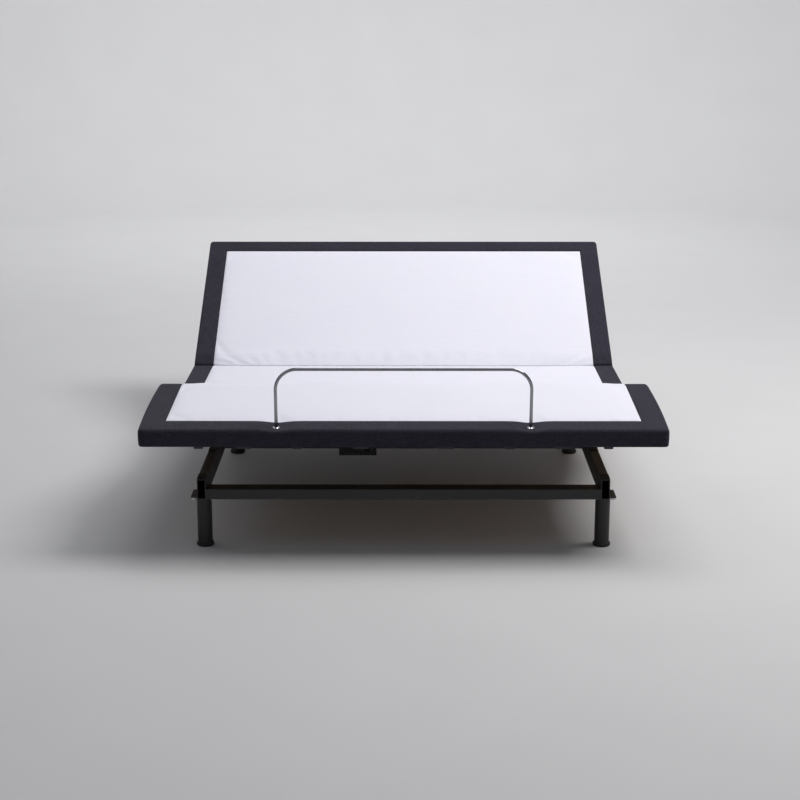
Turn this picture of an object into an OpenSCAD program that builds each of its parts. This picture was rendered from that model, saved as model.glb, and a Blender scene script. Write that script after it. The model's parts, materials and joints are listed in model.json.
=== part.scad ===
// Adjustable bed base: four hinged, upholstered deck sections on a steel frame,
// raised by two electric lift drives. X is to the sleeper's side, Y runs from the
// foot to the head, Z is up. The origin is on the floor, under the middle of the base.

/* [Deck] */
// Width of the upholstered deck
deck_w = 1524; // [1300:2:1930]
// Height of the deck's top above the floor when it lies flat
deck_top = 275; // [265:1:420]
// Length of the head section, from its hinge to its end
head_len = 725; // [680:1:870]
// Length of the fixed seat section, between its two hinges
seat_len = 400; // [385:1:480]
// Length of the thigh section, between its two hinges
thigh_len = 460; // [430:1:552]
// Length of the foot section, from the knee hinge to its end
foot_len = 447; // [380:1:540]
// Thickness of the deck boards
board_t = 18; // [15:1:21]
// Thickness of the foam on the boards
foam_t = 32; // [26:1:40]
// Thickness of the upholstery cloth
cloth_t = 1.5; // [1:0.1:2]
// Width of the dark cloth border along the sides
side_border_w = 68.5; // [50:0.5:100]
// Width of the dark cloth border along the head end
head_border_w = 62; // [50:0.5:100]
// Width of the dark cloth border along the foot end
foot_border_w = 85; // [70:1:100]
// Gap between a board's end and its hinge axis
board_gap = 12; // [12:0.5:14]

/* [Pose] */
// Angle of the head section above level
head_angle = 30; // [0:0.5:60]
// Angle of the thigh section above level
thigh_angle = 17; // [0:0.5:40]
// Greatest angle of the head section
head_max = 60; // [40:1:60]
// Greatest angle of the thigh section
thigh_max = 40; // [30:1:40]
// Knee hinge turn for each degree of the thigh section
knee_ratio = 1.188; // [1:0.001:1.19]

/* [Frame] */
// Distance between the centre lines of the two side rails
rail_span = 1180; // [1080:2:1240]
// Width of a side rail
rail_w = 25; // [20:1:30]
// Height of a side rail
rail_h = 60; // [58:1:64]
// Wall of the rails and tubes
tube_wall = 2; // [1.5:0.5:3]
// Height of a cross rail
cross_h = 30; // [25:1:32]
// Width of a cross rail
cross_w = 50; // [40:1:60]
// Side of the square tube under each moving section
sub_w = 25; // [20:1:25]
// Thickness of the hinge plates
ear_t = 5; // [4:0.5:5]
// Radius of the hinge pins
pin_r = 5; // [4:0.5:6]
// Radial running clearance of every pin and shaft
run_fit = 0.1; // [0.05:0.01:0.1]
// Distance from the head hinge to the head end of the side rails
rail_head_end = 685; // [660:1:700]
// Distance that the foot section reaches past the side rails when it is flat
foot_overhang = 67; // [50:1:100]

/* [Legs] */
// Radius of a leg
leg_r = 22; // [18:1:25]
// Height of the plastic glide under a leg
glide_h = 12; // [10:1:20]
// Radius of that glide
glide_r = 26; // [24:1:32]

/* [Lift] */
// Length of a head lift arm, from its shaft to its roller
head_arm_len = 400; // [360:1:420]
// Length of a leg lift arm
leg_arm_len = 300; // [280:1:320]
// Distance of both lift arms from the middle of the bed
arm_x = 400; // [330:1:430]
// Height of the hinges above the lift shafts
lift_drop = 44.4; // [44:0.1:52]
// Radius of the rollers at the ends of the lift arms
roller_r = 22; // [20:1:24]
// Radius of the lift shafts
shaft_r = 17; // [15:0.5:18]
// Turn of the head lift arm for each degree of the head section
head_arm_ratio = 0.7774; // [0.77:0.0001:0.78]
// Turn of the leg lift arm for each degree of the thigh section
leg_arm_ratio = 0.7027; // [0.695:0.0001:0.705]
// Distance of each drive from the middle of the bed
drive_x = 120; // [100:1:180]
// Length of the drive levers, from the shaft to the pin
lever_len = 100; // [90:1:105]

/* [Foot link] */
// Distance of the link's fixed pivot from the thigh hinge
link_root = 154.3; // [150:0.1:158]
// Distance of the link's moving pivot from the knee hinge
link_tip = 100; // [95:1:105]
// Height of both link pivots below the hinge axes
link_drop = 51.5; // [48:0.5:54]

/* [Retainer bar] */
// Distance between the two posts of the mattress retainer bar
bar_span = 735; // [500:1:900]
// Height of the bar's centre line above the deck
bar_h = 167; // [120:1:200]
// Radius of the bar
bar_r = 5; // [4:0.5:6]
// Radius of the bar's bends, on its centre line
bar_bend = 62; // [40:1:80]
// Distance of the posts from the foot end
bar_inset = 45; // [35:1:55]

/* [Hidden] */
$fn = 48;
charcoal = [0.20, 0.20, 0.25];
white_cloth = [0.92, 0.92, 0.95];
foam_grey = [0.55, 0.57, 0.60];
plywood = [0.72, 0.58, 0.40];
frame_black = [0.10, 0.10, 0.11];
zinc = [0.72, 0.73, 0.75];
chrome = [0.85, 0.86, 0.88];
nylon = [0.85, 0.84, 0.80];
black_plastic = [0.06, 0.06, 0.07];

// Heights. The hinge axes lie in the plane where the foam meets the boards.
axis_z = deck_top - cloth_t - foam_t;
pad_t = 3;
rail_top = axis_z - board_t - pad_t;
rail_bottom = rail_top - rail_h;
skin_top = foam_t + cloth_t;
skin_bottom = -board_t - cloth_t;
inner_w = deck_w - 2 * cloth_t;
panel_w = deck_w - 2 * side_border_w;
hem = 40;
corner_cut = 9;

// Hinge axes along Y, counted from the head hinge before the whole base is centred.
thigh_y = -seat_len;
deck_foot_end = -(seat_len + thigh_len + foot_len);
rail_foot_end = deck_foot_end + foot_overhang;
foot_tilt = thigh_angle * (1 - knee_ratio);
front_y = thigh_y - thigh_len * cos(thigh_angle) - foot_len * cos(foot_tilt)
    + skin_top * sin(foot_tilt);
plate_t = 5;
back_y = max(rail_head_end + plate_t,
    head_len * cos(head_angle) - skin_bottom * sin(head_angle));
centre_y = -(front_y + back_y) / 2;

// Foam is cut back at a hinge that folds upwards, so that its edges don't meet.
foam_gap = board_gap + 1;
head_cut = skin_top * tan(head_max / 2) + 0.7;
thigh_cut = max(skin_top * tan(thigh_max / 2) + 0.7, foam_gap);
// The knee opens when it bends, so its foam edges stay close together.
knee_cut = 1.5;

// Side to side layout of the hinge plates, from the side rail inwards.
rail_in = (rail_span - rail_w) / 2;
rail_out = rail_in + rail_w;
side_gap = 1;
ear_x = rail_in - ear_t;
sub_ear_x = ear_x - side_gap - ear_t;
sub_x = sub_ear_x - sub_w;
knee_ear_x = sub_ear_x - side_gap - ear_t;
foot_sub_x = knee_ear_x - sub_w;
ear_r = pin_r + 4.5;
sub_low = -board_t - sub_w;

// Lift shafts sit below and seatward of the hinges, so the arms keep a steady ratio.
// The glide strips fill what is left between a roller and its board.
least_strip = 4;
roller_gap = 0.4;
shaft_drop = max(lift_drop, board_t + least_strip + roller_r + roller_gap);
strip_t = shaft_drop - board_t - roller_r - roller_gap;
shaft_back = 80;
head_shaft_y = -shaft_back;
leg_shaft_y = thigh_y + shaft_back;
shaft_z = axis_z - shaft_drop;
arm_t = 8;
arm_half = 13;
elbow_len = 110;
elbow_rise = 8;
hub_r = shaft_r + 6;
roller_w = 20;
stub_r = 10;
lever_t = 6;
eye_w = 16;
eye_r = 13;
slot_fit = 1.6;
head_arm_angle = head_arm_ratio * head_angle;
leg_arm_angle = leg_arm_ratio * thigh_angle;
head_lever_mid = head_arm_ratio * head_max / 2;
leg_lever_mid = leg_arm_ratio * thigh_max / 2;
reach_ratio = 1.04;

// The drives: each runs from a rear pin on a motor rail to the pin of its lever.
head_motor_y = leg_shaft_y - leg_arm_len - roller_r - 14 - cross_w / 2;
leg_motor_y = head_shaft_y + head_arm_len + roller_r + 18 + cross_w / 2;
motor_reach = 85;
motor_rise = 36;
head_pin_y = head_shaft_y + reach_ratio * lever_len * (head_arm_angle - head_lever_mid) * PI / 180;
leg_pin_y = leg_shaft_y - reach_ratio * lever_len * (leg_arm_angle - leg_lever_mid) * PI / 180;
lever_pin_z = shaft_z - lever_len;
head_rear_y = head_motor_y + motor_reach;
leg_rear_y = leg_motor_y - motor_reach;
rear_z = lever_pin_z + motor_rise;
head_drive_len = norm([head_pin_y - head_rear_y, motor_rise]);
leg_drive_len = norm([leg_rear_y - leg_pin_y, motor_rise]);
head_drive_angle = -asin(motor_rise / head_drive_len);
leg_drive_angle = -asin(motor_rise / leg_drive_len);
rod_r = 11;
tube_r = 19;
tube_start = 80;
head_tube_len = 440 - tube_start;
leg_tube_len = 535 - tube_start;
rod_len = 250;
rod_neck = 30;

// The foot link runs from a stud on the rail to a pin under the foot section. Its outer
// hole is a short slot, which takes up what the two hinges' steady ratio leaves over.
link_len = thigh_len + link_tip - link_root;
link_t = 5;
link_x = rail_out + 2;
link_r = 14;
link_play = 1.6;
link_slot = 2.5;
bracket_x = link_x + link_t + side_gap;
link_pin = thigh_len * [cos(thigh_angle), sin(thigh_angle)]
    + link_tip * [cos(foot_tilt), sin(foot_tilt)] + link_drop * [sin(foot_tilt), -cos(foot_tilt)];
link_angle = atan2(link_pin.y + link_drop, link_pin.x - link_root);

socket_r = 9;
bar_fit = 0.3;
bar_s = foot_len - bar_inset;
bar_foot = -14;

// ---- frames of reference ----

module in_base() {
    translate([0, centre_y, 0]) children();
}

// Y runs along the head section from its hinge, Z is above the hinge axis.
module on_head() {
    in_base() translate([0, 0, axis_z]) rotate([head_angle, 0, 0]) children();
}

// Y runs along the fixed seat from the head hinge, so its other hinge is at -seat_len.
module on_seat() {
    in_base() translate([0, 0, axis_z]) children();
}

// Y runs from the thigh hinge towards the knee, so the picture is turned round.
module on_thigh() {
    in_base() translate([0, thigh_y, axis_z]) rotate([-thigh_angle, 0, 0])
        mirror([0, 1, 0]) children();
}

// Y runs from the knee hinge towards the foot end.
module on_foot() {
    on_thigh() translate([0, thigh_len, 0]) rotate([-knee_ratio * thigh_angle, 0, 0]) children();
}

module both_sides() {
    children();
    mirror([1, 0, 0]) children();
}

// A solid of the given width whose outline lies in the Y-Z plane.
module slab(width, start = 0) {
    translate([start, 0, 0]) rotate([90, 0, 90]) linear_extrude(width) children();
}

module wide(width) {
    slab(width, -width / 2) children();
}

module rod_x(radius, from, to) {
    translate([from, 0, 0]) rotate([0, 90, 0]) cylinder(r = radius, h = to - from);
}

module box_tube(size, wall, along) {
    difference() {
        cube(size);
        if (along == "x")
            translate([-1, wall, wall]) cube([size.x + 2, size.y - 2 * wall, size.z - 2 * wall]);
        else
            translate([wall, -1, wall]) cube([size.x - 2 * wall, size.y + 2, size.z - 2 * wall]);
    }
}

// ---- deck sections: outlines along the deck, from one end to the other ----

// cut is how far the top edge stands back from a hinge; 0 marks an outside end.
module deck_outline(from, to, cut_from, cut_to, low, high) {
    y0 = cut_from > 0 ? from + cut_from : from;
    y1 = cut_to > 0 ? to - cut_to : to;
    polygon([[from + (cut_from > 0 ? foam_gap : 0), low], [to - (cut_to > 0 ? foam_gap : 0), low],
        [y1, high], [y0, high]]);
}

module foam_block(len, cut_from, cut_to) {
    outline_end = cut_to > 0 ? len : len - cloth_t;
    wide(inner_w) deck_outline(0, outline_end, cut_from, cut_to, 0, foam_t);
}

// A board between two hinges is a rectangle. At an end of the deck its outer corners
// are cut off, where the cloth is drawn round them.
module board(len, closed_end) {
    half = inner_w / 2;
    far = len - cloth_t;
    if (closed_end)
        translate([-half, board_gap, -board_t]) cube([inner_w, len - 2 * board_gap, board_t]);
    else
        translate([0, 0, -board_t]) linear_extrude(board_t) polygon([[-half, board_gap],
            [half, board_gap], [half, far - corner_cut], [half - corner_cut, far],
            [corner_cut - half, far], [-half, far - corner_cut]]);
}

// The dark border: a thin cloth shell over the foam's rim, down the sides and under the board.
module border_skin(len, cut_from, cut_to, end_border) {
    open_end = cut_to == 0;
    far = open_end ? len - cloth_t : len + 1;
    low_end = open_end ? len : len - foam_gap;
    difference() {
        wide(deck_w) {
            deck_outline(0, len, cut_from, cut_to, 0, skin_top);
            polygon([[foam_gap, skin_bottom], [low_end, skin_bottom],
                [low_end, 0], [foam_gap, 0]]);
        }
        translate([-inner_w / 2, -1, -board_t]) cube([inner_w, far + 1, board_t + foam_t]);
        translate([-panel_w / 2, -1, 1]) cube([panel_w, len - end_border + 1, skin_top + 1]);
        translate([-inner_w / 2 + hem, -1, skin_bottom - 1])
            cube([inner_w - 2 * hem, (open_end ? len - cloth_t - hem : len) + 1, board_t]);
    }
}

module panel_skin(len, cut_from, cut_to, end_border) {
    from = cut_from;
    to = cut_to > 0 ? len - cut_to : len - end_border;
    translate([-panel_w / 2, from, foam_t]) cube([panel_w, to - from, cloth_t]);
}

// Cuts the slots in the boards for the knee hinge plates.
module knee_slots() {
    slot_from = knee_ear_x - 3;
    both_sides() translate([slot_from, 0, -board_t - 1])
        cube([sub_ear_x + ear_t + 3 - slot_from, 44, board_t + 2]);
}

module seat_board() {
    color(plywood) on_seat() mirror([0, 1, 0]) board(seat_len, true);
}
module seat_foam() {
    color(foam_grey) on_seat() mirror([0, 1, 0]) foam_block(seat_len, head_cut, thigh_cut);
}
module seat_border() {
    color(charcoal) on_seat() mirror([0, 1, 0])
        border_skin(seat_len, head_cut, thigh_cut, 0);
}
module seat_panel() {
    color(white_cloth) on_seat() mirror([0, 1, 0])
        panel_skin(seat_len, head_cut, thigh_cut, 0);
}
module head_board() {
    color(plywood) on_head() board(head_len, false);
}
module head_foam() {
    color(foam_grey) on_head() foam_block(head_len, head_cut, 0);
}
module head_border() {
    color(charcoal) on_head() border_skin(head_len, head_cut, 0, head_border_w);
}
module head_panel() {
    color(white_cloth) on_head() panel_skin(head_len, head_cut, 0, head_border_w);
}
module thigh_board() {
    color(plywood) on_thigh() difference() {
        board(thigh_len, true);
        translate([0, thigh_len - 44, 0]) knee_slots();
    }
}
module thigh_foam() {
    color(foam_grey) on_thigh() foam_block(thigh_len, thigh_cut, knee_cut);
}
module thigh_border() {
    color(charcoal) on_thigh() border_skin(thigh_len, thigh_cut, knee_cut, 0);
}
module thigh_panel() {
    color(white_cloth) on_thigh() panel_skin(thigh_len, thigh_cut, knee_cut, 0);
}
module foot_board() {
    color(plywood) on_foot() difference() {
        board(foot_len, false);
        knee_slots();
        both_sides() translate([bar_span / 2, bar_s, -board_t - 1])
            cylinder(r = socket_r, h = board_t + 2);
    }
}
module foot_foam() {
    color(foam_grey) on_foot() difference() {
        foam_block(foot_len, knee_cut, 0);
        both_sides() translate([bar_span / 2, bar_s, -1]) cylinder(r = socket_r, h = foam_t + 2);
    }
}
module foot_border() {
    color(charcoal) on_foot() difference() {
        border_skin(foot_len, knee_cut, 0, foot_border_w);
        both_sides() translate([bar_span / 2, bar_s, skin_bottom - 1])
            cylinder(r = socket_r, h = skin_top - skin_bottom + 2);
    }
}
module foot_panel() {
    color(white_cloth) on_foot() panel_skin(foot_len, knee_cut, 0, foot_border_w);
}

// ---- frame ----

module side_rails() {
    color(frame_black) in_base() both_sides()
        translate([rail_in, rail_foot_end, rail_bottom])
            box_tube([rail_w, rail_head_end - rail_foot_end, rail_h], tube_wall, "y");
}

module cross_rail(y) {
    translate([-rail_in, y - cross_w / 2, rail_bottom])
        box_tube([2 * rail_in, cross_w, cross_h], tube_wall, "x");
}
foot_rail_y = rail_foot_end + cross_w / 2;
seat_rail_y = -seat_len / 2;
head_rail_y = rail_head_end - cross_w / 2 - 5;
module cross_rails() {
    color(frame_black) in_base() {
        cross_rail(foot_rail_y);
        cross_rail(seat_rail_y);
        cross_rail(head_rail_y);
    }
}
module motor_rails() {
    color(frame_black) in_base() {
        cross_rail(head_motor_y);
        cross_rail(leg_motor_y);
    }
}

// Plates at the head end, drilled for a headboard's brackets.
bolt_r = 5.5;
bolt_out = 12.5;
bolt_rise = 40;
plate_w = 58;
plate_h = rail_h + 14;
bolt_x = rail_out + bolt_out;
bolt_z = rail_bottom + 10;
module headboard_plates() {
    color(frame_black) in_base() both_sides() difference() {
        translate([rail_in - 2, rail_head_end, rail_bottom - 15])
            cube([plate_w, plate_t, plate_h]);
        for (rise = [0, bolt_rise])
            translate([bolt_x, rail_head_end - 1, bolt_z + rise])
                rotate([-90, 0, 0]) cylinder(r = bolt_r, h = plate_t + 2);
    }
}

// Rubber pads on the side rails: full height under the seat board, a little lower
// where the moving sections come to rest.
module deck_pads() {
    pad_len = 40;
    rest_gap = 0.4;
    color(black_plastic) in_base() both_sides() {
        for (y = [-60, thigh_y + 60])
            translate([rail_in, y - pad_len / 2, rail_top]) cube([rail_w, pad_len, pad_t]);
        for (y = [80, rail_head_end - 175, thigh_y - 80, thigh_y - thigh_len + 60,
                thigh_y - thigh_len - 60, rail_foot_end + 30])
            translate([rail_in, y - pad_len / 2, rail_top])
                cube([rail_w, pad_len, pad_t - rest_gap]);
    }
}

module frame_ear_outline() {
    difference() {
        union() {
            circle(r = ear_r);
            polygon([[-ear_r, 0], [ear_r, 0], [ear_r, -board_t - 1], [30, -board_t - 6],
                [30, -board_t - 40], [-30, -board_t - 40], [-30, -board_t - 6],
                [-ear_r, -board_t - 1]]);
        }
        circle(r = pin_r);
    }
}
module frame_hinge_ears() {
    color(zinc) both_sides() for (y = [0, thigh_y])
        in_base() translate([0, y, axis_z]) slab(ear_t, ear_x) frame_ear_outline();
}

// A hinge pin with a head on its inner end, held in the frame's plate.
module hinge_pin() {
    rod_x(pin_r, sub_ear_x - 0.5, rail_in);
    rod_x(pin_r + 3, sub_ear_x - 4, sub_ear_x - 0.3);
}
module pivot_pins() {
    color(zinc) in_base() {
        both_sides() {
            for (y = [0, thigh_y]) translate([0, y, axis_z]) hinge_pin();
            translate([0, thigh_y - link_root, axis_z - link_drop]) {
                rod_x(pin_r, rail_out, bracket_x + 1);
                rod_x(pin_r + 4, link_x + link_t + 0.3, bracket_x + 2);
            }
        }
        translate([-drive_x, head_rear_y, rear_z]) motor_pin();
        translate([drive_x, leg_rear_y, rear_z]) motor_pin();
    }
}
fork_in = eye_w / 2 + side_gap;
fork_out = fork_in + lever_t;
module motor_pin() {
    rod_x(pin_r, -fork_out - 1, fork_out + 1);
    both_sides() rod_x(pin_r + 3, fork_out, fork_out + 3);
}

// Plates that carry the two lift shafts, with a nylon bush in each.
bracket_t = 6;
bush_r = 14;
module at_shaft_ends() {
    both_sides() for (y = [head_shaft_y, leg_shaft_y])
        in_base() translate([0, y, shaft_z]) children();
}
module shaft_brackets() {
    color(zinc) at_shaft_ends() slab(bracket_t, rail_in - bracket_t) difference() {
        translate([-30, rail_bottom - shaft_z + 4]) square([60, rail_h - 8]);
        circle(r = bush_r);
    }
}
module shaft_bushes() {
    color(nylon) at_shaft_ends() difference() {
        union() {
            rod_x(bush_r, rail_in - bracket_t, rail_in);
            rod_x(bush_r + 4, rail_in - bracket_t - 2, rail_in - bracket_t);
        }
        rod_x(stub_r + run_fit, rail_in - bracket_t - 3, rail_in + 1);
    }
}

// Two plates under a motor rail that hold a drive's rear pin. dir points to the drive.
module motor_bracket(rail_y, dir) {
    drop = rear_z - rail_bottom;
    both_sides() slab(lever_t, fork_in) difference() {
        union() {
            translate([rail_y + dir * motor_reach, rear_z]) circle(r = link_r);
            polygon([[rail_y - dir * cross_w / 2, rail_bottom], [rail_y + dir * cross_w / 2, rail_bottom],
                [rail_y + dir * (motor_reach + 6), rear_z + link_r - 2],
                [rail_y + dir * motor_reach, rear_z - link_r],
                [rail_y - dir * cross_w / 2, rail_bottom + 0.4 * drop]]);
        }
        translate([rail_y + dir * motor_reach, rear_z]) circle(r = pin_r);
    }
}
module motor_brackets() {
    color(frame_black) in_base() {
        translate([-drive_x, 0, 0]) motor_bracket(head_motor_y, 1);
        translate([drive_x, 0, 0]) motor_bracket(leg_motor_y, -1);
    }
}

// ---- electronics under the seat ----

module small_case(size) {
    hull() for (x = [4, size.x - 4], y = [4, size.y - 4]) {
        translate([x, y, size.z - 4]) cylinder(r = 4, h = 4, $fn = 24);
        translate([x, y, 4]) sphere(r = 4, $fn = 24);
    }
}
case_z = axis_z - board_t;
module control_box() {
    size = [180, 62, 34];
    color(black_plastic) in_base()
        translate([200, seat_rail_y + cross_w / 2 + 6, case_z - size.z]) difference() {
            small_case(size);
            for (n = [0:3]) translate([20 + 36 * n, -1, 9]) cube([18, 9, 13]);
        }
}
module power_supply() {
    size = [190, 58, 36];
    color(black_plastic) in_base()
        translate([-390, seat_rail_y - cross_w / 2 - 6 - size.y, case_z - size.z]) difference() {
            small_case(size);
            translate([-1, size.y / 2 - 13.5, 8]) cube([19, 27, 19]);
            translate([size.x - 10, size.y / 2 - 5, 10]) cube([11, 10, 8]);
        }
}

// ---- legs ----

leg_plate_t = 4;
module at_legs() {
    for (side = [-1, 1], y = [rail_foot_end + 60, seat_rail_y, rail_head_end - 85])
        in_base() translate([side * rail_span / 2, y, 0]) children();
}
module legs() {
    color(frame_black) at_legs() translate([0, 0, glide_h]) difference() {
        cylinder(r = leg_r, h = rail_bottom - leg_plate_t - glide_h);
        translate([0, 0, -1]) cylinder(r = leg_r - tube_wall, h = rail_bottom - leg_plate_t - glide_h - 1);
    }
}
module leg_plates() {
    color(frame_black) at_legs() translate([-35, -35, rail_bottom - leg_plate_t])
        cube([70, 70, leg_plate_t]);
}
module leg_glides() {
    color(black_plastic) at_legs() {
        rotate_extrude() polygon([[0, 0], [glide_r - 3, 0], [glide_r, 3], [glide_r, glide_h - 4],
            [glide_r - 3, glide_h], [leg_r - tube_wall - 0.2, glide_h],
            [leg_r - tube_wall - 0.2, glide_h + 14], [0, glide_h + 14]]);
    }
}

// ---- steel under the moving sections ----

// Two square tubes along a section, and one across it. The cross tube stops a weld's
// width short of them, so each tube is its own solid.
weld = 0.2;
module sub_frame(from, to, cross, x = sub_x) {
    both_sides() translate([x, from, sub_low])
        box_tube([sub_w, to - from, sub_w], tube_wall, "y");
    translate([-x + weld, cross - sub_w / 2, sub_low])
        box_tube([2 * (x - weld), sub_w, sub_w], tube_wall, "x");
}
sub_start = 16;
knee_start = 27;
head_sub_end = 174;
foot_sub_end = 180;
thigh_cross_back = 75;
cross_back = 32;
module head_frame() {
    color(frame_black) on_head() sub_frame(sub_start, head_len - head_sub_end,
        head_len - head_sub_end - cross_back);
}
module thigh_frame() {
    color(frame_black) on_thigh() sub_frame(sub_start, thigh_len - knee_start,
        thigh_len - thigh_cross_back);
}
module foot_frame() {
    color(frame_black) on_foot() sub_frame(knee_start, foot_len - foot_sub_end,
        foot_len - foot_sub_end - cross_back, foot_sub_x);
}

module section_ear_outline() {
    difference() {
        union() {
            circle(r = ear_r);
            polygon([[-ear_r, 0], [ear_r, 0], [ear_r, -board_t - 1], [70, -board_t - 1],
                [70, sub_low + 2], [4, sub_low + 2], [-ear_r, -board_t - 1]]);
        }
        circle(r = pin_r + run_fit);
    }
}
module knee_ear_outline(hole_r) {
    difference() {
        union() {
            circle(r = ear_r);
            polygon([[-4, -ear_r + 1], [ear_r, 0], [24, 0], [42, -board_t - 1], [80, -board_t - 1],
                [80, sub_low + 2], [28, sub_low + 2]]);
        }
        circle(r = hole_r);
    }
}
module head_hinge_ears() {
    color(zinc) on_head() both_sides() slab(ear_t, sub_ear_x) section_ear_outline();
}
module thigh_hinge_ears() {
    color(zinc) on_thigh() both_sides() {
        slab(ear_t, sub_ear_x) section_ear_outline();
        translate([0, thigh_len, 0]) mirror([0, 1, 0])
            slab(ear_t, sub_ear_x) knee_ear_outline(pin_r + run_fit);
    }
}
module knee_ears() {
    color(zinc) on_foot() both_sides() slab(ear_t, knee_ear_x) knee_ear_outline(pin_r);
}
module knee_pins() {
    color(zinc) on_foot() both_sides() {
        rod_x(pin_r, knee_ear_x - 2, sub_ear_x + ear_t + 0.6);
        rod_x(pin_r + 3, knee_ear_x - 4, knee_ear_x);
        rod_x(pin_r + 3, sub_ear_x + ear_t + 0.3, sub_ear_x + ear_t + 2.5);
    }
}

// Nylon strips that the rollers run on.
module strips(middle) {
    both_sides() translate([arm_x + arm_t / 2 + 1.5, middle - 75, -board_t - strip_t])
        cube([roller_w, 150, strip_t]);
}
module head_glide_strips() {
    color(nylon) on_head() strips(head_arm_len - shaft_back - 25);
}
module thigh_glide_strips() {
    color(nylon) on_thigh() strips(leg_arm_len - shaft_back - 20);
}

// Angle brackets under the foot board that the foot links hang from.
module link_brackets() {
    color(zinc) on_foot() both_sides() {
        slab(link_t, bracket_x) union() {
            translate([link_tip, -link_drop]) circle(r = link_r);
            polygon([[link_tip - 30, -board_t - cloth_t], [link_tip + 30, -board_t - cloth_t],
                [link_tip + link_r, -link_drop], [link_tip - link_r, -link_drop]]);
        }
        translate([bracket_x, link_tip - 30, -board_t - 4]) cube([34, 60, 4]);
        translate([0, link_tip, -link_drop]) rod_x(pin_r, link_x - 1.2, bracket_x + link_t);
    }
}

// Moulded clips that hold the cloth's hem at the foot end.
clip_wide = 43;
clip_narrow = 26;
clip_depth = 28;
clip_back = 6;
clip_h = 7;
module cover_clips() {
    color(black_plastic) on_foot() both_sides()
        for (clip = [[123, clip_wide], [305, clip_narrow], [460, clip_wide], [590, clip_narrow]])
            translate([clip.x - clip.y / 2, foot_len - clip_back - clip_depth, skin_bottom - clip_h])
                cube([clip.y, clip_depth, clip_h]);
}

// ---- mattress retainer bar ----

module retainer_sockets() {
    color(chrome) on_foot() both_sides() translate([bar_span / 2, bar_s, 0]) difference() {
        union() {
            translate([0, 0, bar_foot - 4]) cylinder(r = socket_r, h = skin_top - bar_foot + 4);
            translate([0, 0, skin_top]) cylinder(r = socket_r + 4, h = 2);
        }
        translate([0, 0, bar_foot - 1]) cylinder(r = bar_r + bar_fit, h = skin_top - bar_foot + 4);
    }
}
module retainer_bar() {
    straight_top = skin_top + bar_h - bar_bend;
    color(chrome) on_foot() translate([0, bar_s, 0]) {
        both_sides() {
            translate([bar_span / 2, 0, bar_foot]) cylinder(r = bar_r, h = straight_top - bar_foot);
            translate([bar_span / 2 - bar_bend, 0, straight_top]) rotate([90, 0, 0])
                rotate_extrude(angle = 90) translate([bar_bend, 0]) circle(r = bar_r);
        }
        translate([0, 0, skin_top + bar_h]) rod_x(bar_r, -bar_span / 2 + bar_bend, bar_span / 2 - bar_bend);
    }
}

// ---- lift arms ----

// Y runs along the arm from its shaft, towards the head or the knee.
module on_head_arm() {
    in_base() translate([0, head_shaft_y, shaft_z]) rotate([head_arm_angle, 0, 0]) children();
}
module on_leg_arm() {
    in_base() translate([0, leg_shaft_y, shaft_z]) rotate([-leg_arm_angle, 0, 0])
        mirror([0, 1, 0]) children();
}

shaft_half = rail_in - bracket_t - 8;
module lift_shaft() {
    difference() {
        rod_x(shaft_r, -shaft_half, shaft_half);
        rod_x(shaft_r - 3, -shaft_half + 12, shaft_half - 12);
    }
    both_sides() rod_x(stub_r, shaft_half, rail_in - 0.5);
}
module strut(from, to, half) {
    span = to - from;
    translate(from) rotate(atan2(span.y, span.x)) translate([0, -half])
        square([norm(span), 2 * half]);
}
// Two cranked arms. The elbow keeps them below the boards' ends at the top of the travel.
module lift_arms(len, swing) {
    elbow = elbow_len * [cos(elbow_rise - swing), sin(elbow_rise - swing)];
    both_sides() {
        slab(arm_t, arm_x - arm_t / 2) difference() {
            union() {
                circle(r = hub_r);
                strut([0, 0], elbow, arm_half);
                strut(elbow, [len, 0], arm_half);
                translate(elbow) circle(r = arm_half + 1);
                translate([len, 0]) circle(r = arm_half + 1);
            }
            circle(r = shaft_r);
        }
        translate([0, len, 0]) {
            rod_x(pin_r + 1, arm_x + arm_t / 2, arm_x + arm_t / 2 + roller_w + 3);
            rod_x(pin_r + 3, arm_x + arm_t / 2 + roller_w + 1.5, arm_x + arm_t / 2 + roller_w + 4);
        }
    }
}
// Two slotted plates. The slot lets the drive's pin travel in a straight line.
module drive_lever(mid) {
    slot_end = lever_len / cos(mid);
    rotate([-mid, 0, 0]) both_sides() slab(lever_t, fork_in) difference() {
        union() {
            circle(r = hub_r);
            polygon([[4 - hub_r, 0], [hub_r - 4, 0], [16, -lever_len], [16, -slot_end - 2],
                [-16, -slot_end - 2], [-16, -lever_len]]);
            translate([0, -slot_end - 2]) circle(r = 16);
        }
        circle(r = shaft_r);
        for (z = [lever_len - slot_fit / 2, slot_end + slot_fit / 2])
            translate([0, -z]) circle(r = pin_r + slot_fit);
        translate([-pin_r - slot_fit, -slot_end - slot_fit / 2])
            square([2 * (pin_r + slot_fit), slot_end - lever_len + slot_fit]);
    }
}
module rollers(len) {
    both_sides() translate([0, len, 0]) difference() {
        rod_x(roller_r, arm_x + arm_t / 2 + 0.5, arm_x + arm_t / 2 + roller_w + 0.5);
        rod_x(pin_r + 1 + run_fit, arm_x, arm_x + roller_w + arm_t);
    }
}
module head_shaft() {
    color(zinc) on_head_arm() lift_shaft();
}
module head_lift_arms() {
    color(frame_black) on_head_arm() lift_arms(head_arm_len, head_arm_ratio * head_max);
}
module head_drive_lever() {
    color(frame_black) on_head_arm() translate([-drive_x, 0, 0]) drive_lever(head_lever_mid);
}
module head_rollers() {
    color(nylon) on_head_arm() rollers(head_arm_len);
}
module leg_shaft() {
    color(zinc) on_leg_arm() lift_shaft();
}
module leg_lift_arms() {
    color(frame_black) on_leg_arm() lift_arms(leg_arm_len, leg_arm_ratio * thigh_max);
}
module leg_drive_lever() {
    color(frame_black) on_leg_arm() translate([drive_x, 0, 0]) drive_lever(leg_lever_mid);
}
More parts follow.
